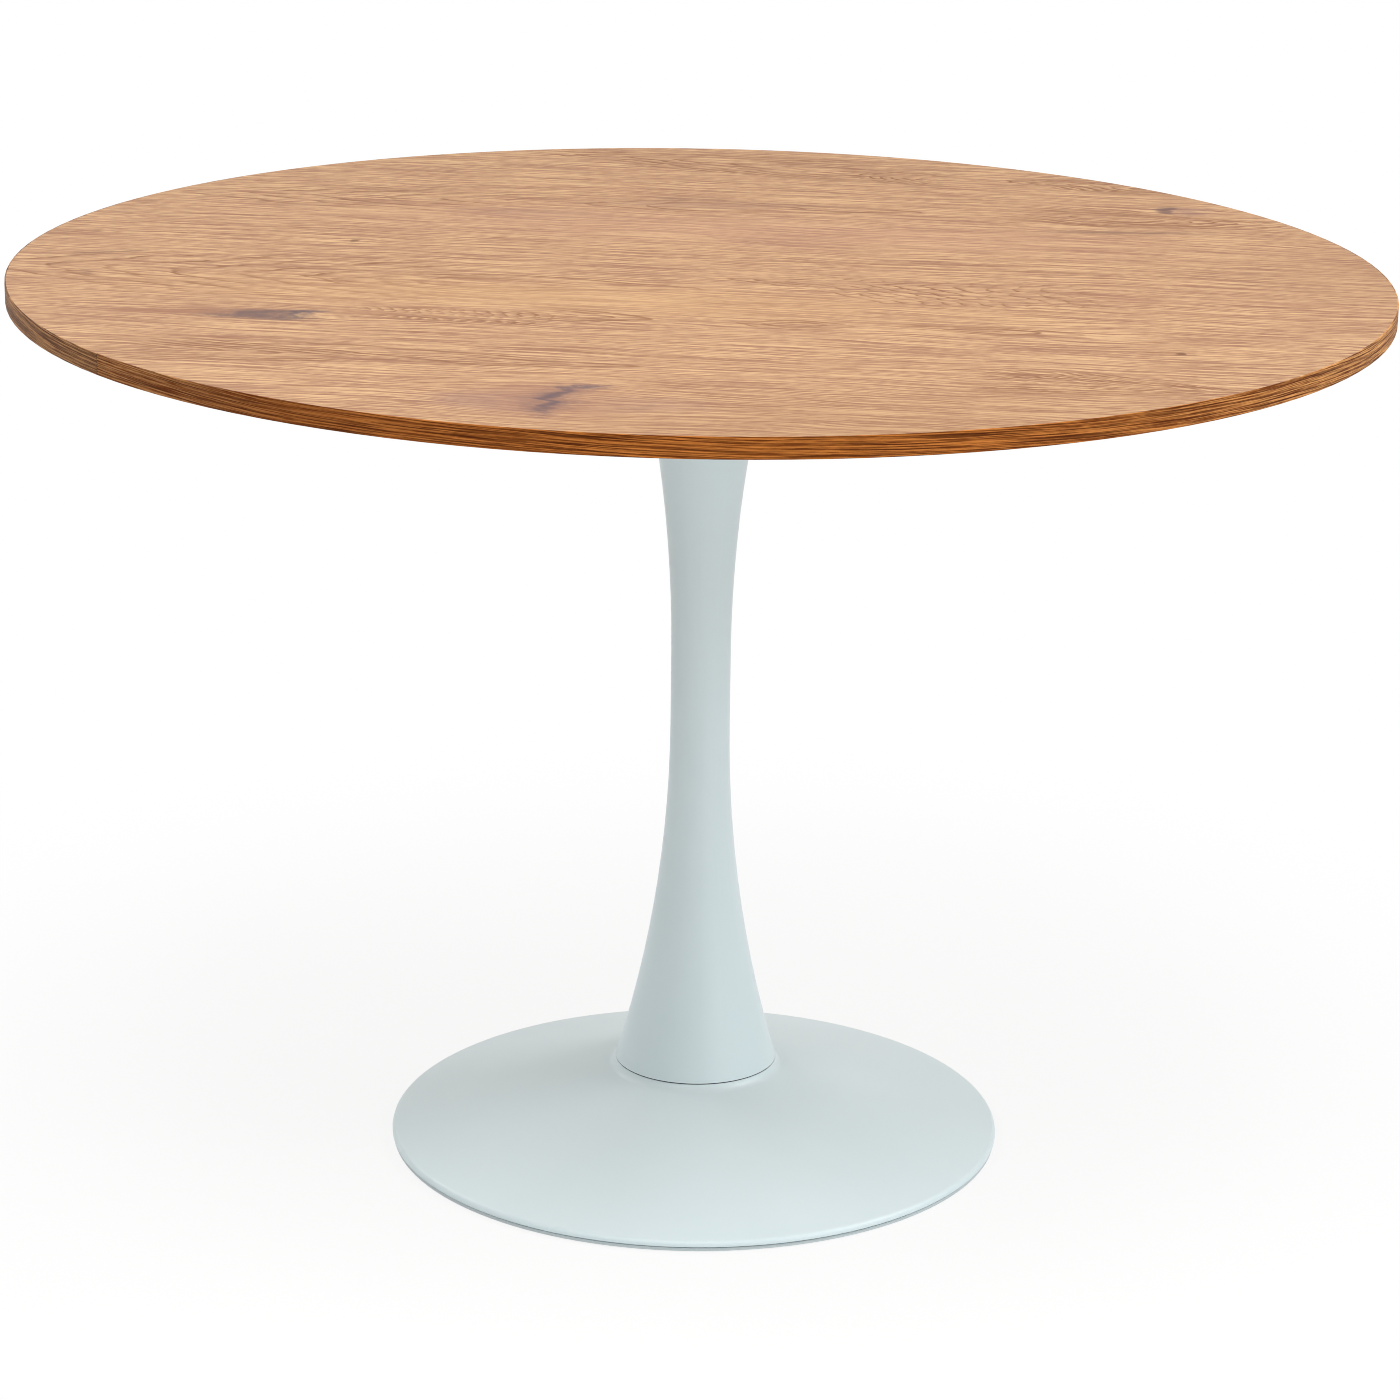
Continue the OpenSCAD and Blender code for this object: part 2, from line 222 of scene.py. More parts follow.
def new_group(name, inputs, outputs):
    """An empty node group with named sockets. Each is a number, but for inputs that start as a colour, and Color."""
    tree = bpy.data.node_groups.new(name, "ShaderNodeTree")
    for label, value in inputs.items():
        kind = "NodeSocketColor" if isinstance(value, tuple) else "NodeSocketFloat"
        socket = tree.interface.new_socket(label, in_out="INPUT", socket_type=kind)
        socket.default_value = value
    for label in outputs:
        kind = "NodeSocketColor" if label == "Color" else "NodeSocketFloat"
        tree.interface.new_socket(label, in_out="OUTPUT", socket_type=kind)
    return tree, put(tree, "NodeGroupInput").outputs, put(tree, "NodeGroupOutput").inputs


def use_group(tree, group, **values):
    """Places a group in a tree and feeds its inputs, whose names have _ for a space."""
    node = put(tree, "ShaderNodeGroup", node_tree=group)
    for label, value in values.items():
        feed(tree, node.inputs[label.replace("_", " ")], value)
    return node.outputs


def colour(red, green, blue):
    """A colour written as on a paint card, from 0 to 255, turned into light."""
    def to_light(value):
        share = value / 255
        return share / 12.92 if share <= 0.04045 else ((share + 0.055) / 1.055) ** 2.4
    return (to_light(red), to_light(green), to_light(blue), 1.0)


def new_finish(name, **settings):
    """A material with a Principled BSDF. Settings that are the same all over sit on its own sockets."""
    material = bpy.data.materials.new(name)
    material.use_nodes = True
    tree = material.node_tree
    shader = tree.nodes["Principled BSDF"]
    for label, value in settings.items():
        shader.inputs[label.replace("_", " ")].default_value = value
    return material, tree, shader


def bump(tree, shader, height, distance, strength):
    """Shades the surface as if it rose by height times distance."""
    node = put(tree, "ShaderNodeBump")
    node.inputs["Strength"].default_value = strength
    node.inputs["Distance"].default_value = distance
    feed(tree, node.inputs["Height"], height)
    feed(tree, shader.inputs["Normal"], node.outputs[0])


print("finish helpers ready")

# %% [markdown]
# ## The floor
#
# The floor is pale and plain. A camera ray that meets it near the table sees mostly white paper and a little of
# the real, shaded floor, so the table keeps a soft shadow. Farther out the floor turns into plain white paper.
# From below, the floor is not there at all, and the part of it under the base shines up, so that the feet and
# the casting can be looked at too.

# %% How white the floor is
shade_end = 4.5 * base_radius
white_at_base = 0.84
glow_radius = 0.96 * base_radius


def paper_share(tree):
    """How much of a ray sees white paper: all reflections, most of the camera's view, and what is under the base."""
    path = put(tree, "ShaderNodeLightPath").outputs
    away = put(tree, "ShaderNodeVectorMath", operation="LENGTH")
    feed(tree, away.inputs[0], put(tree, "ShaderNodeTexCoord").outputs["Object"])
    share = fade(tree, away.outputs["Value"], base_radius, shade_end, white_at_base, 1.0)
    seen = times(tree, path["Is Camera Ray"], share)
    under_base = calc(tree, "LESS_THAN", away.outputs["Value"], glow_radius)
    seen = calc(tree, "MAXIMUM", seen, times(tree, path["Is Diffuse Ray"], under_base))
    seen = calc(tree, "MAXIMUM", seen, path["Is Glossy Ray"])
    return calc(tree, "MAXIMUM", seen, path["Is Transmission Ray"])


print("the floor is white beyond", round(shade_end, 3), "m")

# %% Lay the floor
floor_half = 15.0
floor_grey = (0.86, 0.86, 0.86, 1)
corner_signs = ((-1, -1), (1, -1), (1, 1), (-1, 1))
floor_mesh = bpy.data.meshes.new("floor")
floor_mesh.from_pydata([(sx * floor_half, sy * floor_half, 0) for sx, sy in corner_signs], [], [(0, 1, 2, 3)])
floor = bpy.data.objects.new("floor", floor_mesh)
bpy.context.scene.collection.objects.link(floor)

paper = bpy.data.materials.new("white_paper")
paper.use_nodes = True
tree = paper.node_tree
tree.nodes.clear()
matt = put(tree, "ShaderNodeBsdfDiffuse")
matt.inputs["Color"].default_value = floor_grey
white = put(tree, "ShaderNodeEmission")
white.inputs["Strength"].default_value = 1.0
mixed = step(tree, "ShaderNodeMixShader", paper_share(tree), matt.outputs[0], white.outputs[0])
from_below = put(tree, "ShaderNodeNewGeometry").outputs["Backfacing"]
clear = put(tree, "ShaderNodeBsdfTransparent").outputs[0]
mixed = step(tree, "ShaderNodeMixShader", from_below, mixed, clear)
feed(tree, put(tree, "ShaderNodeOutputMaterial").inputs["Surface"], mixed)
paper.cycles.emission_sampling = "NONE"  # it only shows in rays that meet it, and is not aimed at as a lamp
floor_mesh.materials.append(paper)
print("floor", 2 * floor_half, "m wide")

# %% [markdown]
# ## Sky and lamps
#
# The sky is a dim, faintly blue dome that lights the table from all around. The camera, glass and glossy metal
# don't see it but a white backdrop, as in a studio with paper walls.

# %% Hang the sky
sky_strength = 0.25
sky_tint = (0.97, 0.99, 1.0, 1)
world = bpy.data.worlds.new("studio_sky")
bpy.context.scene.world = world
world.use_nodes = True
tree = world.node_tree
tree.nodes.clear()
path = put(tree, "ShaderNodeLightPath").outputs
bare = calc(tree, "MAXIMUM", path["Is Camera Ray"], path["Is Transmission Ray"])
bare = calc(tree, "MAXIMUM", bare, path["Is Glossy Ray"])
sky = put(tree, "ShaderNodeBackground")
sky.inputs["Color"].default_value = sky_tint
sky.inputs["Strength"].default_value = sky_strength
backdrop = put(tree, "ShaderNodeBackground")
backdrop.inputs["Color"].default_value = (1.0, 1.0, 1.0, 1)
mixed = step(tree, "ShaderNodeMixShader", bare, sky.outputs[0], backdrop.outputs[0])
feed(tree, put(tree, "ShaderNodeOutputWorld").inputs["Surface"], mixed)
print("sky strength", sky_strength)

# %% [markdown]
# Round the table hangs a ring of square soft boxes, because big lamps make soft shadows. The strongest, high in
# front, lights the top. The one on the right models the column, those at the front left and low at the front right
# reach the base under the top, and the last one lights the far side.

# %% Hang the lamps
lamp_distance = 4.0
lamp_width = 2.0
lamp_aim = Vector((0, 0, 0.4))


def hang_lamp(name, bearing, elevation, power):
    """A square soft box that looks at the table. A bearing of 0 is straight in front and 90 is on the right."""
    data = bpy.data.lights.new(name, "AREA")
    data.size = lamp_width
    data.energy = power
    lamp = bpy.data.objects.new(name, data)
    out = Vector((sin(bearing) * cos(elevation), -cos(bearing) * cos(elevation), sin(elevation)))
    lamp.location = lamp_aim + lamp_distance * out
    lamp.rotation_euler = (-out).to_track_quat("-Z", "Y").to_euler()
    bpy.context.scene.collection.objects.link(lamp)


for name, bearing, elevation, power in (
    # name, bearing and elevation in degrees, power in watts
    ("high_front", 0, 65, 98),
    ("right", 80, 40, 75),
    ("low_front_right", 40, 12, 19),
    ("front_left", -40, 40, 32),
    ("back_left", -130, 40, 41),
):
    hang_lamp(name, radians(bearing), radians(elevation), power)
scene = bpy.context.scene
scene.view_settings.view_transform = "Standard"
scene.cycles.filter_width = 1.0

# %% [markdown]
# ## Oak: how the figure comes about
#
# A board cut near the outside of a trunk runs almost along the growth rings, so the saw meets each ring in a
# long pointed arch. These are the cathedral flames of flat-sawn oak. Such a flame is like the contour lines of a
# hill with a long ridge: they come one after the other while the ridge climbs, and where it falls again they
# close into an island. The group below draws one flame. It works out how far apart its lines are at each place,
# so that every line is equally thick, whether the arches are wide or dense. All its sizes are in millimetres.

# %% Node group: the hill of one flame
flame_group, i, o = new_group(
    "grain_flame",
    {"X": 0.0, "Y": 0.0, "Start X": 0.0, "Start Y": 0.0, "Turn": 0.0, "Crest": 200.0, "End": 400.0,
     "Rings": 5.0, "Ring width": 20.0, "Point": 1.5, "Reach": 60.0, "Thickness": 3.0, "Shift": 0.0, "Repeat": 500.0,
     "Last": 2000.0, "Spread": 0.0},
    ["Line"],
)
t = flame_group
dx = minus(t, i["X"], i["Start X"])
dy = minus(t, i["Y"], i["Start Y"])
lengthwise, offset = turned_by(t, dx, dy, i["Turn"])
sideways = calc(t, "PINGPONG", offset, i["Repeat"])
rise = over(t, lengthwise, i["Crest"])
descent = minus(t, i["End"], i["Crest"])
fall = over(t, minus(t, i["End"], lengthwise), descent)
crest_softness = 0.3
ridge = times(t, calc(t, "SMOOTH_MIN", rise, fall, crest_softness), i["Rings"])
widening = times_plus(t, calc(t, "MAXIMUM", rise, 0.0), i["Spread"], 1.0)
ring_width = times(t, i["Ring width"], widening)
wide = over(t, sideways, ring_width)
hill = minus(t, ridge, calc(t, "POWER", wide, i["Point"]))
print("hill with", len(t.nodes), "nodes")

# %% [markdown]
# A line runs where the hill's height passes half a ring. How steep the hill is tells how far away that is in
# millimetres. Each line has a sharp core and a soft shade on its upper side, as late wood has against early wood,
# and the lines fade out at the flame's foot, beside it and at its far end.

# %% Node group: the lines of one flame
climbing = calc(t, "LESS_THAN", rise, fall)
run = times_plus(t, climbing, minus(t, i["Crest"], descent), descent)
steep_along = over(t, i["Rings"], run)
steep_across = calc(t, "POWER", wide, minus(t, i["Point"], 1.0))
steep_across = over(t, times(t, steep_across, i["Point"]), ring_width)
steep = times_plus(t, steep_along, steep_along, times(t, steep_across, steep_across))
from_line = over(t, minus(t, calc(t, "FRACT", hill), 0.5), calc(t, "SQRT", steep))
from_line = over(t, from_line, i["Thickness"])
core, core_edge = 0.15, 0.75  # in line thicknesses, as is the next
shade_width, shade_depth = 2.4, 0.55
sharp = fade(t, calc(t, "ABSOLUTE", from_line), core, core_edge, 1.0, 0.0)
upper_side = calc(t, "GREATER_THAN", from_line, 0.0)
soft = times(t, fade(t, from_line, 0.0, shade_width, shade_depth, 0.0), upper_side)
side_fade, end_fade = (0.55, 1.1), (0.75, 1.1)  # as shares of Reach and of Last
beside = calc(t, "ABSOLUTE", over(t, minus(t, offset, i["Shift"]), i["Reach"]))
inside = times(t, fade(t, hill, 0.0, 0.5), fade(t, beside, *side_fade, 1.0, 0.0))
inside = times(t, inside, fade(t, over(t, lengthwise, i["Last"]), *end_fade, 1.0, 0.0))
feed(t, o["Line"], times(t, calc(t, "MAXIMUM", sharp, soft), inside))
print("group", flame_group.name)

# %% [markdown]
# A knot is an oval that is turned, has a ragged edge and fades outwards. The same oval serves for the dark heart
# of a knot, the brown cloud round it, and the soft violet stains that oak often has.

# %% Node group: a ragged oval
oval_group, i, o = new_group(
    "ragged_oval",
    {"X": 0.0, "Y": 0.0, "Centre X": 0.0, "Centre Y": 0.0, "Half length": 10.0, "Half width": 5.0,
     "Turn": 0.0, "Solid": 0.3, "Rag": 0.3, "Rag size": 8.0},
    ["Mask"],
)
t = oval_group
dx = minus(t, i["X"], i["Centre X"])
dy = minus(t, i["Y"], i["Centre Y"])
lengthwise, sideways = turned_by(t, dx, dy, i["Turn"])
lengthwise = over(t, lengthwise, i["Half length"])
sideways = over(t, sideways, i["Half width"])
reach = calc(t, "SQRT", times_plus(t, lengthwise, lengthwise, times(t, sideways, sideways)))
rag_place = point(t, over(t, i["X"], i["Rag size"]), over(t, i["Y"], i["Rag size"]))
ragged = noise(t, rag_place, detail=3)
reach = times_plus(t, minus(t, ragged, 0.5), times(t, i["Rag"], 2.0), reach)
feed(t, o["Mask"], fade(t, reach, i["Solid"], 1.0, 1.0, 0.0))
print("group", oval_group.name)

# %% [markdown]
# The surface of oak is the same whatever the figure: broad and narrow streaks, long and short fibres, a fine speck
# and open pores lie along the grain, so their noise is stretched, and `Stretch` draws the longest out still more.
# The rings come on top as thin brown lines that are stronger in some places than in others, unless `Even` is 1.
# The top, the underside and the edge band use this one group with their own colours.

# %% Node group: oak surface
oak_group, i, o = new_group(
    "oak_surface",
    {"Along": 0.0, "Across": 0.0, "Line": 0.0, "Pale": colour(202, 163, 121), "Brown": colour(143, 100, 74),
     "Ring": colour(122, 77, 45), "Streak": 1.0, "Fibre": 0.3, "Fibre width": 2.2,
     "Rings": 0.7, "Pores": 0.3, "Stretch": 1.0, "Even": 0.0},
    ["Color", "Height"],
)
t = oak_group
along, across = i["Along"], i["Across"]
drawn_out = over(t, along, i["Stretch"])


def stretched(length, width, seed, detail=1.0, lengthwise=drawn_out):
    """Noise whose blots are this long and wide, in millimetres, centred on 0."""
    place = point(t, over(t, lengthwise, length), over(t, across, width), seed)
    return minus(t, noise(t, place, detail=detail), 0.5)


middle_tone = 0.54
broad_share, short_share, speck_share = 0.35, 0.4, 0.6
broad_streaks = stretched(220, 9, 3.0, detail=2.0)
tone = times_plus(t, broad_streaks, times(t, i["Streak"], broad_share), middle_tone)
tone = times_plus(t, stretched(80, 2.8, 11.0), i["Streak"], tone)
fibres = fade(t, stretched(50, i["Fibre width"], 23.0), -0.09, 0.09, -0.5, 0.5)
tone = times_plus(t, fibres, i["Fibre"], tone)
short_fibres = fade(t, stretched(22, i["Fibre width"], 29.0, lengthwise=along), -0.06, 0.06, -0.5, 0.5)
tone = times_plus(t, short_fibres, times(t, i["Fibre"], short_share), tone)
tone = times_plus(t, stretched(7, i["Fibre width"], 41.0, lengthwise=along), speck_share, tone)
wood = blend_colours(t, calc(t, "ADD", tone, 0.0, clamp=True), i["Pale"], i["Brown"])
print("streaks and fibres with", len(t.nodes), "nodes")

# %% Node group: rings and pores of the oak surface
ring_relief, pore_relief = 0.35, 0.65
patchy = calc(t, "MAXIMUM", fade(t, stretched(70, 22, 31.0, 2.0, along), -0.16, 0.14, 0.35, 1.0), i["Even"])
ring = times(t, i["Line"], patchy)
wood = blend_colours(t, times(t, ring, i["Rings"]), wood, i["Ring"])
pores = fade(t, stretched(42, i["Fibre width"], 37.0, lengthwise=along), 0.12, 0.20)
wood = blend_colours(t, times(t, pores, i["Pores"]), wood, i["Ring"])
feed(t, o["Color"], wood)
dips = times_plus(t, ring, ring_relief, times(t, pores, pore_relief))
feed(t, o["Height"], minus(t, 1.0, dips))
print("group", oak_group.name)

# %% [markdown]
# ## The oak top
#
# The grain runs from side to side and is turned a few degrees. The places of the flames and the knots are given
# in millimetres from the middle of a top of 550 mm radius, and scale with the real one: x goes to the right and
# y away from the sitter. Each row of `flames` tells where the flame's point is, which way its ridge runs, how far
# along it the crest and the end lie, the number of rings, the width of one ring across the ridge, how pointed
# the arches are (1 is a sharp V, 2 is round), how far they reach sideways, and how thick the lines are. `Last`
# is how far along the lines are drawn, `Shift` moves the drawn strip sideways, `Repeat` folds the ridge, so that
# the lines zigzag, and `Spread` opens the arches more and more on the way to the crest.

# %% Places of the flames and the knots
grain_turn = radians(-7)
figure_scale = top_radius * 1000 / 550

flames = [
    # x, y, turn, crest, end, rings, ring width, point, reach, thickness, the rest
    (-478, 299, -3, 420, 900, 7.5, 24, 1.3, 62, 3.4, {"Last": 350.0, "Shift": -8.0}),
    (-126, 276, -3, 120, 345, 2.6, 17, 1.8, 46, 3.4, {}),
    (-600, -18, -5, 470, 1000, 9.0, 34, 1.25, 92, 4.2, {"Last": 440.0}),
    (-330, -50, -3, 160, 360, 2.4, 20, 1.4, 44, 3.6, {}),
    (10, -30, -5, 340, 680, 14.0, 8.5, 1.1, 60, 2.3, {"Shift": -24.0, "Last": 310.0, "Spread": 2.2}),
    (-106, -186, 173, 250, 500, 24.0, 13, 1.6, 28, 2.6, {"Last": 170.0, "Shift": 8.0}),
    (-22, -184, 173, 120, 260, 4.0, 11, 1.4, 30, 3.2, {"Last": 110.0}),
    (16, -186, -7, 55, 108, 2.4, 11, 1.5, 30, 3.2, {}),
    (124, -190, -7, 100, 178, 2.6, 10, 1.5, 30, 3.2, {}),
    (-160, -340, 172, 300, 600, 7.0, 10, 1.2, 54, 3.2, {"Last": 300.0}),
    (402, -390, 174, 260, 560, 15.0, 7.5, 1.2, 48, 2.2, {"Last": 220.0}),
    (-20, -345, 174, 260, 520, 5.0, 9, 1.3, 34, 3.0, {"Last": 200.0}),
    (506, 228, 172, 150, 400, 7.0, 13, 1.6, 54, 3.2, {"Last": 260.0}),
    (-190, 528, -14, 340, 700, 7.0, 15, 1.3, 60, 3.4, {"Last": 380.0}),
    (118, 436, -12, 120, 240, 9.0, 11, 1.3, 40, 2.8, {"Repeat": 30.0, "Last": 100.0}),
    (260, 420, -12, 120, 240, 7.0, 11, 1.4, 38, 3.0, {}),
]
knots = [
    # x, y, half length and half width of the grain's detour, strength
    (-330, -190, 95, 26, 0.75),
    (-105, -450, 80, 46, 0.7),
    (410, 290, 50, 24, 0.7),
    (355, -270, 45, 14, 0.6),
    (-285, 95, 34, 14, 0.6),
]
print("flames", len(flames), "knots", len(knots))

# %% [markdown]
# Real grain is never straight. The place that the flames see wanders a little, in blots of several sizes, and the
# grain makes a detour round each knot, as wood does that has grown round a branch.

# %% Node group: grain that wanders
figure_group, i, o = new_group("figure_of_the_top", {"X": 0.0, "Y": 0.0}, ["X", "Y", "Along", "Across", "Line"])
t = figure_group
plain_along, plain_across = turned_by(t, i["X"], i["Y"], grain_turn)


def wander(length, width, seed, amount):
    """A drift that moves the grain by up to about half of amount, in blots of this length and width."""
    place = point(t, over(t, plain_along, length), over(t, plain_across, width), seed)
    return times(t, minus(t, noise(t, place, detail=2), 0.5), 2 * amount)


along = plus(t, plain_along, wander(160, 30, 5.0, 22))
along = plus(t, along, wander(60, 11, 15.0, 12))
along = plus(t, along, wander(24, 4.5, 7.0, 3.5))
across = plus(t, plain_across, wander(200, 60, 9.0, 14))
for knot_x, knot_y, length, width, strength in knots:
    a, b = knot_x * figure_scale, knot_y * figure_scale
    du = over(t, minus(t, plain_along, a * cos(grain_turn) + b * sin(grain_turn)), length)
    dv = over(t, minus(t, plain_across, b * cos(grain_turn) - a * sin(grain_turn)), width)
    away = times_plus(t, du, du, times(t, dv, dv))
    near = calc(t, "EXPONENT", times(t, away, -1.0))
    across = minus(t, across, times(t, times(t, dv, near), strength * width))
bent_x, bent_y = turned_by(t, along, plus(t, across, wander(40, 14, 13.0, 4)), -grain_turn)
print("wandering grain with", len(t.nodes), "nodes")

# %% Node group: all flames of the top
line = 0.0
for fx, fy, turn_degrees, crest, end, count, width, pointed, reach, thickness, rest in flames:
    flame = use_group(t, flame_group, X=bent_x, Y=bent_y, Start_X=fx * figure_scale, Start_Y=fy * figure_scale,
                      Turn=radians(turn_degrees), Crest=crest, End=end, Rings=count, Ring_width=width,
                      Point=pointed, Reach=reach, Thickness=thickness, **rest)
    line = calc(t, "MAXIMUM", line, flame["Line"])
for label, value in (("X", bent_x), ("Y", bent_y), ("Along", plain_along), ("Across", across), ("Line", line)):
    feed(t, o[label], value)
print("group", figure_group.name, "with", len(t.nodes), "nodes")

# %% [markdown]
# Over the figure lie soft patches: rosy and golden zones, the brown clouds and dark hearts of the knots, and
# long grey-brown streaks. They all come from the ragged oval, laid one over the other from the widest and palest
# to the smallest and darkest.

# %% Patches, stains and hearts of knots
patches = [
    # x, y, half length, half width, turn in degrees, solid part, ragged, blot size, strength, colour
    (140, -520, 420, 170, 0, 0.0, 0.3, 90, 0.36, (142, 104, 70)),
    (620, 40, 300, 260, 0, 0.0, 0.3, 90, 0.38, (140, 102, 74)),
    (40, 172, 560, 110, -7, 0.0, 0.35, 70, 0.35, (176, 132, 106)),
    (-120, -110, 520, 90, -7, 0.0, 0.35, 60, 0.4, (194, 152, 106)),
    (-150, 228, 110, 34, -6, 0.0, 0.4, 24, 0.5, (160, 120, 96)),
    (0, 276, 118, 20, -3, 0.4, 0.4, 14, 0.45, (150, 112, 88)),
    (-27, 300, 24, 8, -8, 0.0, 0.6, 8, 0.55, (116, 84, 68)),
    (30, 292, 130, 7, -9, 0.0, 0.6, 16, 0.45, (130, 94, 76)),
    (355, 190, 120, 9, 1, 0.0, 0.6, 18, 0.85, (126, 92, 70)),
    (-250, -293, 190, 4, -12, 0.2, 0.6, 20, 0.5, (124, 80, 48)),
    (-90, -297, 170, 4, -9, 0.2, 0.6, 20, 0.45, (124, 80, 48)),
    (230, 22, 240, 4, -5, 0.2, 0.6, 20, 0.5, (124, 80, 48)),
    (150, 42, 170, 3, -1, 0.2, 0.6, 20, 0.45, (124, 80, 48)),
    (330, -82, 50, 26, -10, 0.1, 0.45, 16, 0.5, (152, 106, 80)),
    (455, -88, 120, 13, -7, 0.0, 0.5, 14, 0.5, (152, 106, 80)),
    (-390, -182, 115, 18, -3, 0.0, 0.45, 16, 0.8, (142, 98, 72)),
    (-250, -184, 64, 15, -3, 0.0, 0.45, 12, 0.5, (150, 106, 78)),
    (-336, -190, 74, 17, -4, 0.0, 0.55, 9, 0.9, (118, 84, 70)),
    (-334, -188, 58, 6, 3, 0.1, 0.6, 7, 0.8, (92, 70, 66)),
    (-302, -188, 26, 9, 4, 0.0, 0.7, 6, 0.85, (72, 60, 68)),
    (-318, -196, 34, 5, -6, 0.1, 0.6, 6, 0.6, (84, 66, 66)),
    (-115, -448, 84, 74, 20, 0.0, 0.4, 20, 0.75, (148, 106, 84)),
    (-160, -452, 56, 30, 0, 0.0, 0.45, 14, 0.5, (138, 102, 90)),
    (-38, -462, 64, 32, 0, 0.0, 0.45, 14, 0.4, (144, 108, 92)),
    (-106, -448, 52, 28, 72, 0.0, 0.6, 9, 0.75, (120, 88, 78)),
    (-104, -446, 50, 10, 76, 0.1, 0.7, 6, 0.8, (82, 64, 68)),
    (-84, -420, 26, 14, 10, 0.0, 0.6, 6, 0.75, (86, 68, 76)),
    (418, 288, 26, 17, 0, 0.1, 0.5, 9, 0.65, (134, 96, 82)),
    (400, 291, 11, 11, 0, 0.3, 0.4, 5, 0.8, (92, 64, 60)),
    (352, -268, 36, 8, -4, 0.0, 0.5, 8, 0.6, (132, 86, 56)),
    (358, -271, 7, 5, 0, 0.4, 0.4, 4, 0.8, (96, 56, 30)),
    (-285, 95, 5, 5, 0, 0.4, 0.3, 3, 0.8, (104, 66, 38)),
    (-478, 34, 30, 8, 30, 0.1, 0.6, 7, 0.7, (118, 84, 62)),
    (-485, -46, 26, 6, -48, 0.1, 0.6, 7, 0.6, (124, 84, 60)),
]
print("patches", len(patches))

# %% Oak face
oak_face, tree, shader = new_finish("oak_face", Roughness=0.6, Specular_IOR_Level=0.2)
x, y, z = millimetres(tree)
figure = use_group(tree, figure_group, X=x, Y=y)
oak = use_group(tree, oak_group, Along=figure["Along"], Across=figure["Across"], Line=figure["Line"],
                Streak=0.95, Fibre=0.75, Rings=0.95, Pores=0.6, Stretch=2.4)
face = oak["Color"]
for sx, sy, length, width, angle, solid, rag, rag_size, strength, stain in patches:
    oval = use_group(tree, oval_group, X=figure["X"], Y=figure["Y"], Centre_X=sx * figure_scale,
                     Centre_Y=sy * figure_scale, Half_length=length, Half_width=width,
                     Turn=radians(angle), Solid=solid, Rag=rag, Rag_size=rag_size)
    face = blend_colours(tree, times(tree, oval["Mask"], strength), face, colour(*stain))
feed(tree, shader.inputs["Base Color"], face)
bump(tree, shader, oak["Height"], 0.00012, 0.5)
print("oak face ready with", len(tree.nodes), "nodes")

# %% [markdown]
# ## The edge band
#
# The band is a strip of its own, wrapped round the board, so its grain runs round the edge and knows nothing of
# the top's. It is warmer and darker than the face. The place along it is the angle round the table times the
# radius, and the place across it is the height. The grain climbs very slowly and bends a little, and dark strokes
# less than a millimetre thick follow it.

# %% Oak edge: grain round the board
joint_bearing = radians(-143)
grain_climb, bend_length, bend_height = 0.02, 160.0, 4.0
stroke_length, stroke_width = 90.0, 0.9
oak_edge, tree, shader = new_finish("oak_edge", Roughness=0.55, Specular_IOR_Level=0.06)
x, y, z = millimetres(tree)
cross, ahead = turned_by(tree, x, y, joint_bearing + pi)
round_angle = calc(tree, "ARCTAN2", ahead, cross)
round_edge = times(tree, round_angle, top_radius * 1000)
slant = times_plus(tree, round_edge, grain_climb, z)
bends = noise(tree, point(tree, over(tree, round_edge, bend_length), 0.0, 6.0), detail=1)
slant = times_plus(tree, bends, bend_height, slant)
stroke_place = point(tree, over(tree, round_edge, stroke_length), over(tree, slant, stroke_width), 2.0)
strokes = noise(tree, stroke_place, detail=1)
print("edge band begins and ends at", round(degrees(joint_bearing)), "degrees")

# %% [markdown]
# The two ends of the band meet at the front left in a butt joint. Veneer varies along its length, so the ends don't
# match: one end is fresher right at the joint, and on the other side the wood is dull. Light and shade are painted
# into the band as well: a painted highlight makes it paler and more golden on the right, and painted shade makes it
# browner from the front towards the joint.
# Angles are counted from the point across the table, so the joint is at 180 degrees, and the front is negative.

# %% Oak edge: colours and the joint
seam_depth = 0.5
seam_core, seam_edge = 0.0004, 0.0012  # radians from the joint
dull = fade(tree, round_angle, radians(90), radians(140))
# Painted highlight: the band turns paler and more golden towards the right, where the key light falls.
painted_light_right = fade(tree, round_angle, radians(-110), radians(-60))
pale = blend_colours(tree, painted_light_right, colour(194, 118, 52), colour(208, 150, 90))
# Painted shade: the band turns browner from the front towards the joint at the front left, the side turned from the
# key light.
painted_shade_front_left = fade(tree, round_angle, radians(-172), radians(-128), 1.0, 0.0)
pale = blend_colours(tree, painted_shade_front_left, pale, colour(154, 94, 46))
fresh_end = fade(tree, round_angle, radians(-174), radians(-156), 1.0, 0.0)
pale = blend_colours(tree, fresh_end, pale, colour(176, 124, 76))
pale = blend_colours(tree, dull, pale, colour(174, 126, 82))
brown = blend_colours(tree, dull, colour(110, 56, 16), colour(100, 64, 36))
band = use_group(tree, oak_group, Along=round_edge, Across=slant, Line=fade(tree, strokes, 0.52, 0.60), Pale=pale,
                 Brown=brown, Ring=colour(66, 24, 0), Streak=0.45, Fibre=0.75, Fibre_width=1.1, Rings=0.85, Pores=0.5,
                 Stretch=2.0, Even=0.8)
seam = fade(tree, calc(tree, "ABSOLUTE", round_angle), pi - seam_edge, pi - seam_core)
seam = times(tree, seam, seam_depth)
feed(tree, shader.inputs["Base Color"], blend_colours(tree, seam, band["Color"], colour(40, 24, 12)))
bump(tree, shader, band["Height"], 0.0001, 0.5)
print("edge band finish ready with", len(tree.nodes), "nodes")

# %% [markdown]
# ## Satin paint
#
# The column, the base and the plate under the top have one pale blue-grey powder coat. Powder coat is not flat:
# it has a fine orange peel, which softens reflections, and its tone drifts a little. A separate group holds the
# peel, because the cast base below uses the same one at a larger size.

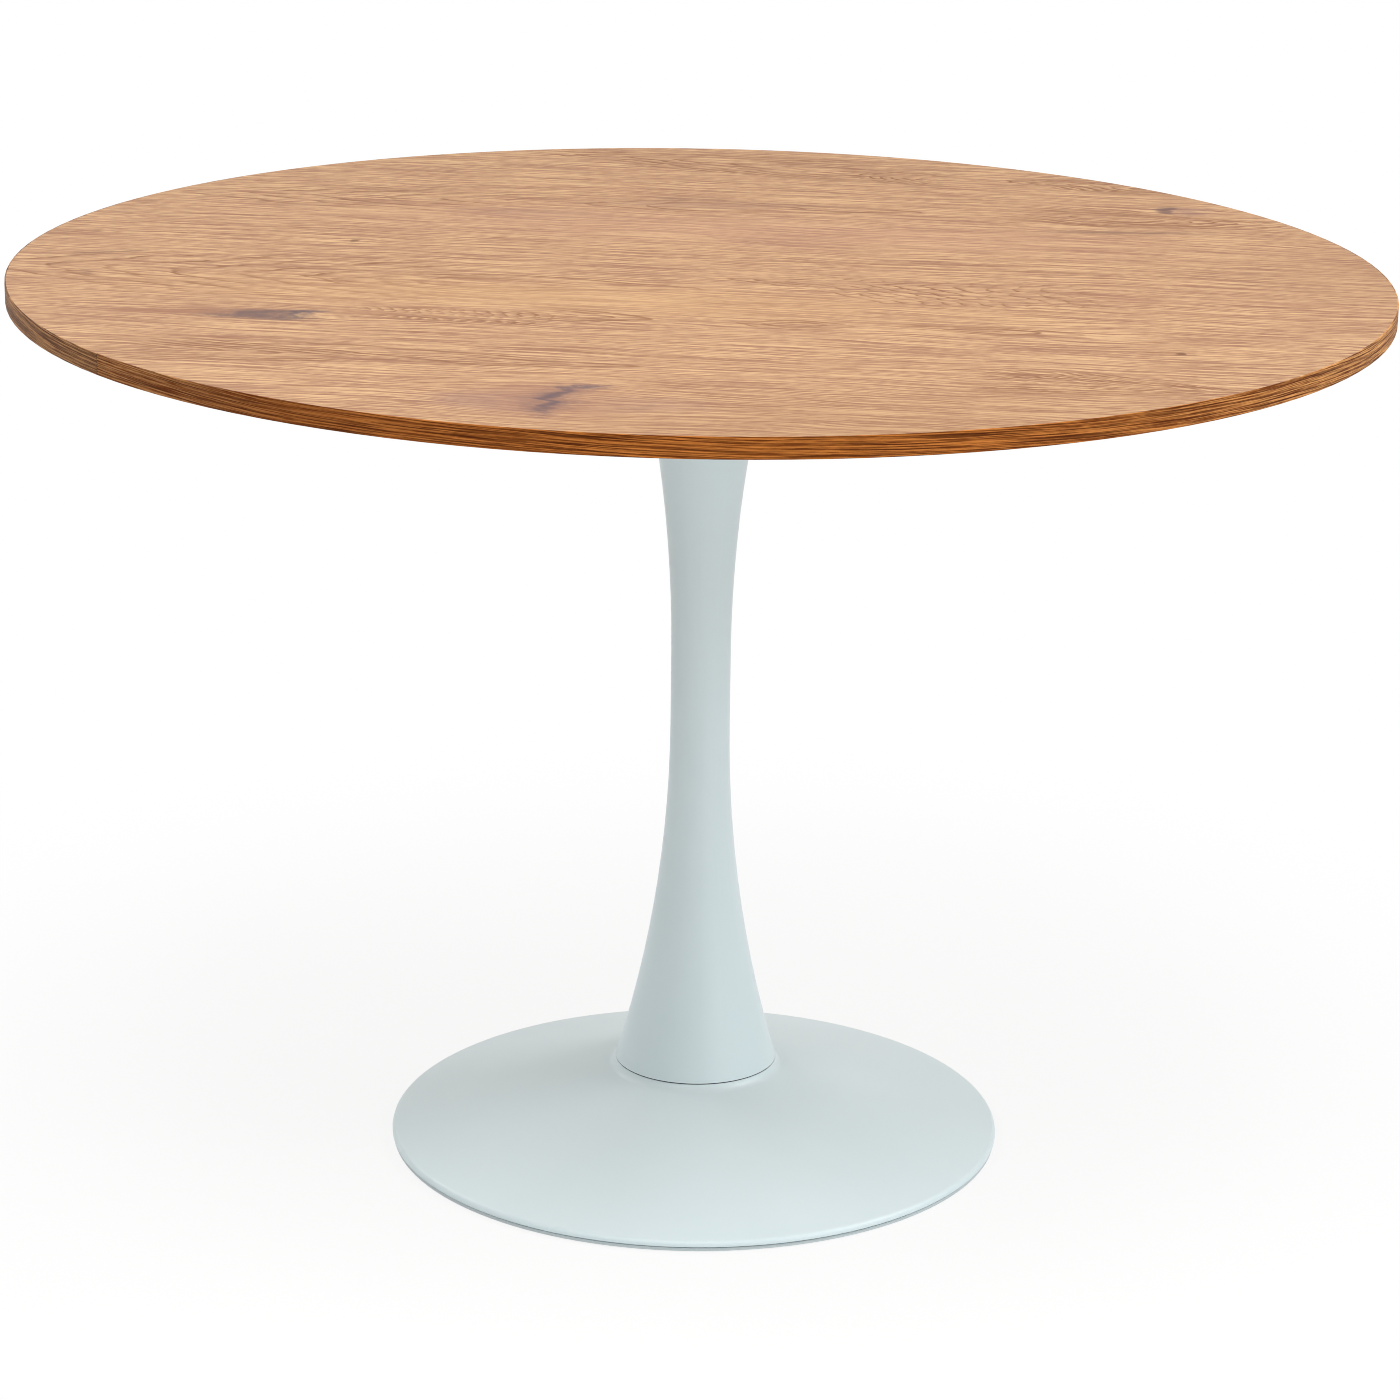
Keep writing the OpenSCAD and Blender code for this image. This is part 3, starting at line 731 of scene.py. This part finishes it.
# %% Node group: fine peel
peel_group, i, o = new_group("fine_peel", {"X": 0.0, "Y": 0.0, "Z": 0.0, "Grain size": 1.5}, ["Height", "Drift"])
t = peel_group
place = point(t, *[over(t, i[axis], i["Grain size"]) for axis in "XYZ"])
feed(t, o["Height"], noise(t, place, detail=2))
feed(t, o["Drift"], noise(t, place, scale=0.02, detail=2))
print("group", peel_group.name)

# %% Painted steel
painted_steel, tree, shader = new_finish("painted_steel", Roughness=0.36, Specular_IOR_Level=0.45)
x, y, z = millimetres(tree)
peel = use_group(tree, peel_group, X=x, Y=y, Z=z, Grain_size=1.6)
paint = blend_colours(tree, peel["Drift"], colour(214, 231, 235), colour(219, 235, 239))
feed(tree, shader.inputs["Base Color"], paint)
bump(tree, shader, peel["Height"], 0.00004, 0.6)
print("paint ready")

# %% [markdown]
# ## The other finishes
#
# The rest of the table is seen from below or as a thin line: bare board, zinc-plated screws, the cast base, a
# rubber gasket, the ring under the lip and the pads. Each gets its own colour, gloss and surface.

# %% Plain finishes
def plain_finish(name, light, dark, grain_size, height, strength, **settings):
    """A finish that drifts between two tones and has a grain of the given size in millimetres."""
    material, tree, shader = new_finish(name, **settings)
    x, y, z = millimetres(tree)
    peel = use_group(tree, peel_group, X=x, Y=y, Z=z, Grain_size=grain_size)
    mixed = plus(tree, times(tree, peel["Height"], 0.6), times(tree, peel["Drift"], 0.4))
    feed(tree, shader.inputs["Base Color"], blend_colours(tree, fade(tree, mixed, 0.3, 0.7), light, dark))
    bump(tree, shader, peel["Height"], height, strength)
    return material


plain_looks = {
    # light and dark tone, grain size in mm, its height in m, strength of the bump, the shader's own settings
    "plain_steel": ((150, 150, 150), (110, 110, 112), 0.8, 0.00003, 0.5, {"Metallic": 1.0, "Roughness": 0.4}),
    "zinc": ((205, 207, 205), (170, 174, 176), 0.5, 0.00001, 0.5, {"Metallic": 1.0, "Roughness": 0.32}),
    "cast_iron": ((66, 68, 70), (48, 50, 52), 1.2, 0.00025, 0.8, {"Roughness": 0.6}),
    "gasket_rubber": ((58, 60, 62), (46, 48, 50), 0.6, 0.00003, 0.5, {"Roughness": 0.7}),
    "ring_plastic": ((198, 210, 213), (190, 203, 206), 0.8, 0.00002, 0.5, {"Roughness": 0.5}),
    "pad_plastic": ((44, 45, 47), (34, 35, 37), 0.5, 0.00003, 0.5, {"Roughness": 0.55}),
    "board": ((186, 154, 112), (158, 124, 86), 1.4, 0.0001, 0.5, {"Roughness": 0.85}),
}
finishes = {"oak_face": oak_face, "oak_edge": oak_edge, "painted_steel": painted_steel}
for name, (light, dark, grain_size, height, strength, gloss) in plain_looks.items():
    finishes[name] = plain_finish(name, colour(*light), colour(*dark), grain_size, height, strength, **gloss)
print("finishes so far:", len(finishes))

# %% [markdown]
# The veneer underneath balances the one on top. It is a plainer sheet of the same oak, with one wide flame.

# %% Oak underneath
backing_slope = 0.12
oak_backing, tree, shader = new_finish("oak_backing", Roughness=0.6, Specular_IOR_Level=0.3)
x, y, z = millimetres(tree)
backing_along = times_plus(tree, y, -backing_slope, x)
backing_across = times_plus(tree, x, backing_slope, y)
backing_line = use_group(tree, flame_group, X=backing_along, Y=backing_across, Start_X=-420.0, Start_Y=60.0,
                         Crest=620.0, End=1100.0, Rings=11.0, Ring_width=22.0, Point=1.5, Reach=200.0)["Line"]
backing = use_group(tree, oak_group, Along=backing_along, Across=backing_across, Line=backing_line, Streak=0.8,
                    Fibre=0.6, Rings=0.6, Pores=0.3)
feed(tree, shader.inputs["Base Color"], backing["Color"])
bump(tree, shader, backing["Height"], 0.0001, 0.4)
finishes["oak_backing"] = oak_backing
print("finishes:", sorted(finishes))

# %% [markdown]
# ## Dressing the solids
#
# The record of the model says which material slot each solid belongs to, and the finishes have the slots' names.
# So one loop dresses all solids, and their shapes stay as they are.

# %% Dress the solids
slots = {row["node"]: row["material_slot"] for row in frame["record"]["subparts"]}
for name, solid in nodes.items():
    for index in range(len(solid.material_slots)):
        solid.material_slots[index].material = finishes[slots[name]]
print("dressed", len(nodes), "solids")

# %% [markdown]
# ## Hardware
#
# The solids give the screws, bolts and feet as plain bars and hexagons, which is all that a collision model
# needs. Seen from below they deserve their real shapes: heads with rounded crowns and cross recesses, chamfered
# hexagons, a thread on each foot's stud, and pads with ribs that grip the floor. Nearly all of this is turned on
# a lathe in reality, so the helper is a lathe too. For a hexagon it mills six flats into the turned shape, which
# gives the curved chamfers of real bolt heads. All outlines are in millimetres.

# %% A lathe for small pieces
def place_of(radius, angle, height):
    """A point at a radius, an angle and a height in millimetres, given in metres."""
    return (radius * cos(angle) / 1000, radius * sin(angle) / 1000, height / 1000)


def turn_piece(outline, sides=72, flats=None):
    """Turns points of (radius, height) in millimetres round the z axis. With flats, mills a hexagon this wide."""
    mesh = bmesh.new()
    rows = []
    for radius, height in outline:
        if radius == 0:
            rows.append([mesh.verts.new((0, 0, height / 1000))])
            continue
        row = []
        for k in range(sides):
            angle = 2 * pi * k / sides
            reach = radius
            if flats:
                reach = min(radius, flats / 2 / cos(angle % (pi / 3) - pi / 6))
            row.append(mesh.verts.new(place_of(reach, angle, height)))
        rows.append(row)
    for low, high in zip(rows, rows[1:]):
        for k in range(sides):
            corners = (low[k % len(low)], low[(k + 1) % len(low)], high[(k + 1) % len(high)], high[k % len(high)])
            mesh.faces.new(list(dict.fromkeys(corners)))
    return mesh


print("lathe ready")

# %% [markdown]
# A thread is a rod whose radius rises and falls with its height and its angle together. The share of a turn since
# the last crest gives the depth of the groove, and at its upper end the thread runs out into a cone.

# %% A thread for the studs
groove_slope, crest_width, run_out = 2.6, 0.3, 0.8


def cut_thread(mesh, radius, depth, pitch, bottom, top, sides=48, steps=8):
    """Adds a rod with a right-hand thread between two heights, all in millimetres."""
    count = round((top - bottom) / pitch * steps)
    rows = []
    for row_number in range(count + 1):
        height = bottom + (top - bottom) * row_number / count
        row = []
        for k in range(sides):
            turn_share = (height / pitch - k / sides) % 1
            groove = min(max(abs(turn_share - 0.5) * groove_slope - crest_width, 0), 1)
            taper = max(0.0, 1 - (top - height) / (run_out * pitch))
            reach = min(radius - depth * (1 - groove), radius - depth * taper)
            row.append(mesh.verts.new(place_of(reach, 2 * pi * k / sides, height)))
        rows.append(row)
    for low, high in zip(rows, rows[1:]):
        for k in range(sides):
            mesh.faces.new((low[k], low[(k + 1) % sides], high[(k + 1) % sides], high[k]))
    mesh.faces.new(rows[0])
    mesh.faces.new(rows[-1])
    return mesh


print("thread ready")

# %% [markdown]
# A drawing becomes a mesh with smooth faces, and with sharp edges where two faces meet at more than 32 degrees.
# Pieces in a ring are copies of one mesh, each turned a little further, because nobody stops a screwdriver at the
# same angle twice. They stand for a solid of the model, ride on its body and wear the finish that they are given.

# %% Fitting the pieces
crisp_angle = radians(32)


def to_mesh(name, drawing):
    """Turns a drawing into a mesh with smooth faces and crisp edges."""
    bmesh.ops.recalc_face_normals(drawing, faces=drawing.faces)
    mesh = bpy.data.meshes.new(name)
    drawing.to_mesh(mesh)
    drawing.free()
    mesh.shade_smooth()
    mesh.set_sharp_from_angle(angle=crisp_angle)
    return mesh


def ring_of_spots(count, radius, height, first_turn, turn_step):
    """Spots, (x, y, z, turn), for equal pieces on a circle, each turned a little further than the last."""
    spots = []
    for k in range(count):
        angle = 2 * pi * k / count
        spots.append((radius * cos(angle), radius * sin(angle), height, first_turn + turn_step * k))
    return spots


def fit_pieces(name, mesh, spots, finish, body, replaced):
    """Puts a copy of a piece at each spot, (x, y, z, turn), as one object that stands for a solid."""
    drawing = bmesh.new()
    for x, y, z, turned in spots:
        before = len(drawing.verts)
        drawing.from_mesh(mesh)
        drawing.verts.ensure_lookup_table()
        place = Matrix.Translation((x, y, z)) @ Matrix.Rotation(turned, 4, "Z")
        bmesh.ops.transform(drawing, matrix=place, verts=drawing.verts[before:])
    fitted = bpy.data.objects.new(name, to_mesh(name, drawing))
    bpy.context.scene.collection.objects.link(fitted)
    fitted.data.materials.append(finishes[finish])
    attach(fitted, body)
    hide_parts(replaced)
    print(name, "copies:", len(spots), "faces:", len(fitted.data.polygons))


print("fitting helpers ready")

# %% [markdown]
# A pan-head screw is a turned piece with a cross cut into its crown. The cross is two crossing wedges that are
# narrower at the bottom, as the tip of a screwdriver is. A Boolean takes each of them away, which is the plainest
# way to a pocket with clean walls.

# %% A wedge and a cutter
def wedge(long_half, wide_half, depth, top):
    """A wedge that points up from the height top, narrower at its tip, in millimetres."""
    drawing = bmesh.new()
    corners = []
    for share, height in ((1.0, top - 1.0), (0.45, top + depth)):
        for sx, sy in corner_signs:
            x, y = sx * long_half * share, sy * wide_half * (0.5 + 0.5 * share)
            corners.append(drawing.verts.new((x / 1000, y / 1000, height / 1000)))
    for face in ((0, 1, 2, 3), (4, 5, 6, 7), (0, 1, 5, 4), (1, 2, 6, 5), (2, 3, 7, 6), (3, 0, 4, 7)):
        drawing.faces.new([corners[k] for k in face])
    return drawing


def cut_away(mesh, *cutters):
    """Cuts the cutters out of a mesh, one after the other."""
    for cutter_mesh in cutters:
        whole = bpy.data.objects.new("whole", mesh)
        cutter = bpy.data.objects.new("cutter", cutter_mesh)
        for made in (whole, cutter):
            bpy.context.scene.collection.objects.link(made)
        cut = whole.modifiers.new("cut", "BOOLEAN")
        cut.operation, cut.object, cut.solver = "DIFFERENCE", cutter, "EXACT"
        ready = whole.evaluated_get(bpy.context.evaluated_depsgraph_get())
        mesh = bpy.data.meshes.new_from_object(ready)
        for made in (whole, cutter):
            bpy.data.objects.remove(made)
    return mesh


print("cutters ready")

# %% Pan-head screws under the top
def shank_outline(length, radius, chamfer=0.6):
    """A screw's or bolt's round shank, from its chamfered tip to its head."""
    return [(0, length), (radius - chamfer, length), (radius, length - chamfer), (radius, 0)]


screw_head_radius, screw_head_height, screw_count = 5.5, 3.6, 8
screws_low, screws_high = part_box("top_screws")
screw_length = (screws_high.z - screws_low.z) * 1000 - screw_head_height
shank = shank_outline(screw_length, 3.0)
crown = [
    (screw_head_radius, 0), (screw_head_radius, -1.2), (5.35, -1.9), (4.9, -2.6), (4.15, -3.15), (3.1, -3.45),
    (1.6, -3.58), (0, -screw_head_height),
]
screw = turn_piece(shank + crown)
wedges = []
for wedge_turn in (0, pi / 2):
    drawing = wedge(2.9, 0.65, 2.1, -screw_head_height)
    bmesh.ops.rotate(drawing, matrix=Matrix.Rotation(wedge_turn, 3, "Z"), verts=drawing.verts)
    wedges.append(to_mesh("wedge", drawing))
screw_mesh = cut_away(to_mesh("screw", screw), *wedges)
screw_circle = screws_high.x - screw_head_radius / 1000
spots = ring_of_spots(screw_count, screw_circle, screws_low.z + screw_head_height / 1000, 0.4, 1.7)
fit_pieces("pan_head_screws", screw_mesh, spots, "zinc", "table", "top_screws")

# %% [markdown]
# A hexagon bolt is turned first, with a cone at the end of its head and a thin round face under it, and then
# milled. Where the flats cut through the cone, the well-known arcs appear.

# %% A chamfer for hexagons
def hexagon_cone(low_height, high_height, flats, rows=4):
    """Rows of a chamfer, from a circle inside the flats at one height to one outside the corners at the other."""
    outside = flats / 2 * 1.17
    inside = flats / 2 * 0.95
    climb = high_height - low_height
    return [(inside + (outside - inside) * k / rows, low_height + climb * k / rows) for k in range(rows + 1)]


print("chamfer ready")

# %% Hexagon bolts in the base
bolt_flats, bolt_head_height, bolt_count = 13.0, 5.3, 4
bolts_low, bolts_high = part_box("base_bolts")
bolt_length = (bolts_high.z - bolts_low.z) * 1000 - bolt_head_height
shank = shank_outline(bolt_length, 4.0)
head = [(6.1, 0), (6.1, -0.3), (7.6, -0.3)]
head += hexagon_cone(-bolt_head_height, -bolt_head_height + 0.75, bolt_flats)[::-1]
head += [(5.5, -bolt_head_height), (5.2, -bolt_head_height + 0.2), (0, -bolt_head_height + 0.2)]
bolt = turn_piece(shank + head, flats=bolt_flats)
bolt_corner = bolt_flats / 3 ** 0.5
bolt_circle = bolts_high.x - bolt_corner / 1000
spots = ring_of_spots(bolt_count, bolt_circle, bolts_low.z + bolt_head_height / 1000, 0.35, 1.1)
fit_pieces("hexagon_bolts", to_mesh("bolt", bolt), spots, "zinc", "table", "base_bolts")

# %% [markdown]
# A levelling foot is a stud that screws into the casting and a plastic pad that snaps over the stud's flange.
# The thread climbs 1.25 mm in each turn, so that the stud moves by exactly as much as its turning says. The pad
# has a rounded edge, a shallow hollow and fine ribs underneath, and a pocket inside for the flange.

# %% A foot's pad
pad_ribs = [
    (0, 0.5), (4.6, 0.5), (5.0, 0), (6.2, 0), (6.6, 0.45), (8.2, 0.45), (8.6, 0), (9.8, 0), (10.2, 0.45),
    (11.8, 0.45), (12.2, 0), (14.6, 0),
]
pad_side = [
    (15.3, 0.2), (15.8, 0.7), (16.0, 1.3), (16.0, 3.6), (15.7, 4.4), (15.0, 5.1), (14.0, 5.45), (13.0, 5.5),
]
pad_pocket = [(5.2, 5.5), (4.5, 5.3), (4.1, 4.8), (4.1, 3.75), (7.08, 3.75), (7.08, 2.0), (0, 2.0)]
pad_mesh = to_mesh("pad", turn_piece(pad_ribs + pad_side + pad_pocket))
print("pad with", len(pad_mesh.polygons), "faces")

# %% Levelling feet
foot_count = 4
thread_pitch, thread_radius, thread_depth = 1.25, 4.0, 0.7
stud_flats, hexagon_low, hexagon_thickness = 13.0, 3.62, 3.0
hexagon_high = hexagon_low + hexagon_thickness
flange = [(0, 0), (6.6, 0), (7.0, 0.3), (7.0, 1.2), (6.6, 1.5), (4.0, 1.5), (3.7, 1.8), (3.7, hexagon_low)]
flange += hexagon_cone(hexagon_low, hexagon_low + 0.5, stud_flats)
flange += hexagon_cone(hexagon_high, hexagon_high - 0.5, stud_flats)[::-1] + [(0, hexagon_high)]
for number in range(1, foot_count + 1):
    pad_low, pad_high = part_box(f"glide_pad_{number}")
    stud_low, stud_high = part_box(f"glide_stud_{number}")
    middle = (pad_low + pad_high) / 2
    bearing = pi / 4 + (number - 1) * 2 * pi / foot_count  # the feet stand on the diagonals
    stud_length = (stud_high.z - stud_low.z) * 1000
    stud = turn_piece(flange, flats=stud_flats)
    cut_thread(stud, thread_radius, thread_depth, thread_pitch, hexagon_high - 0.1, stud_length)
    stud_spot = (middle.x, middle.y, stud_low.z, bearing)
    pad_spot = (middle.x, middle.y, pad_low.z, bearing)
    fit_pieces(f"foot_{number}_threaded_stud", to_mesh("stud", stud), [stud_spot], "zinc",
               f"foot_{number}_stud", f"glide_stud_{number}")
    fit_pieces(f"foot_{number}_ribbed_pad", pad_mesh, [pad_spot], "pad_plastic",
               f"foot_{number}_pad", f"glide_pad_{number}")

# %% [markdown]
# Stamped washers and a sawn plate have edges that are broken a little. A Bevel modifier does that to the solids as
# they are, and their own meshes stay untouched.

# %% Break the edges
broken_edges = {"top_washers": 0.15, "base_washers": 0.2, "base_spring_washers": 0.15, "top_mounting_plate": 0.5}
for name, width in broken_edges.items():
    edge = nodes[name].modifiers.new("broken_edge", "BEVEL")
    edge.width = width / 1000
    edge.segments = 2
    edge.limit_method = "ANGLE"
    edge.angle_limit = radians(40)
    edge.harden_normals = True
print("broken edges:", sorted(broken_edges))
